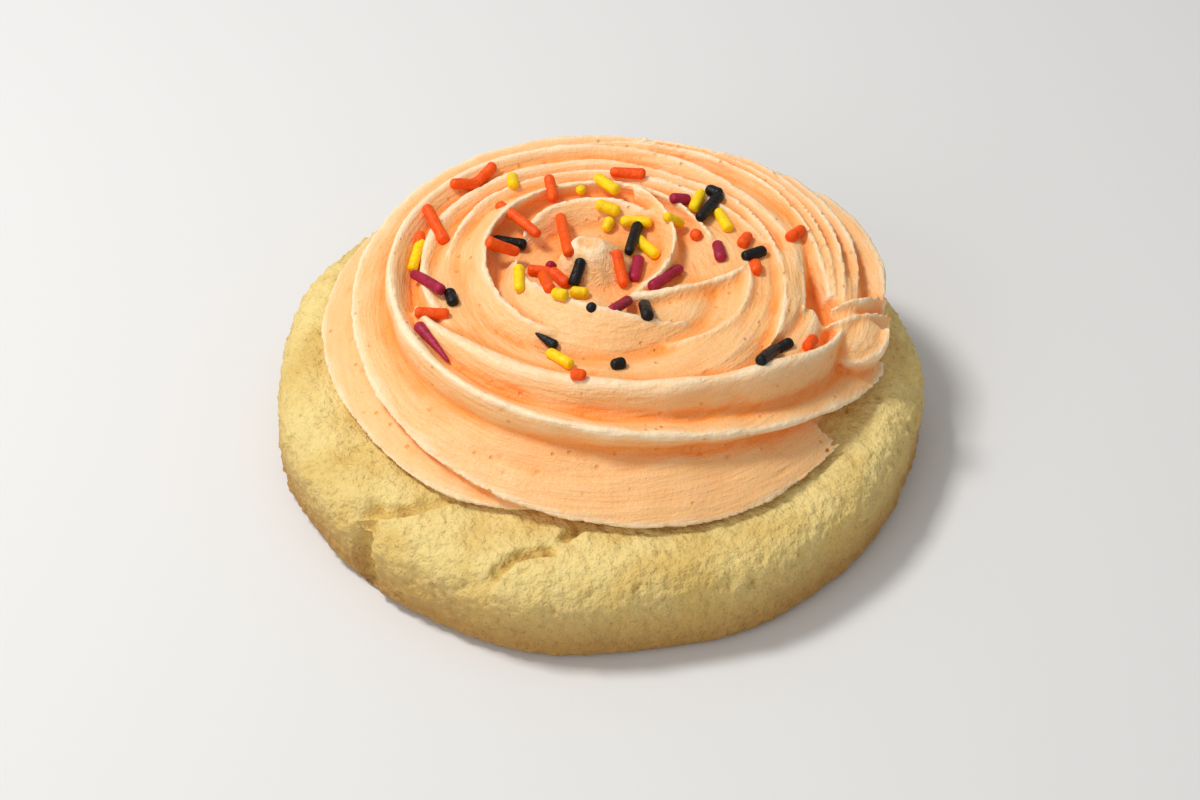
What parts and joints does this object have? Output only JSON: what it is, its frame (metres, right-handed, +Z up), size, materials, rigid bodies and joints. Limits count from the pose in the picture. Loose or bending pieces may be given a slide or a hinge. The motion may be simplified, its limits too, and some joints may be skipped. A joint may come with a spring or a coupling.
{
  "type": "iced sugar cookie",
  "caption": "Thick round sugar cookie with a cracked rim, topped with a tall swirl of piped star-tip frosting.",
  "frame": {"origin": "middle of the flat foot the cookie rests on", "axes": "+Z up, -Y towards the side with the cracked rim, +X towards the side where the swirl ends"},
  "size_m": [0.097, 0.0954, 0.0309],
  "materials": {
    "cookie_crumb": "dry crumb",
    "frosting_peach": "soft satin"
  },
  "bodies": {
    "root": {"cookie": "cookie_crumb", "frosting": "frosting_peach"}
  },
  "joints": []
}
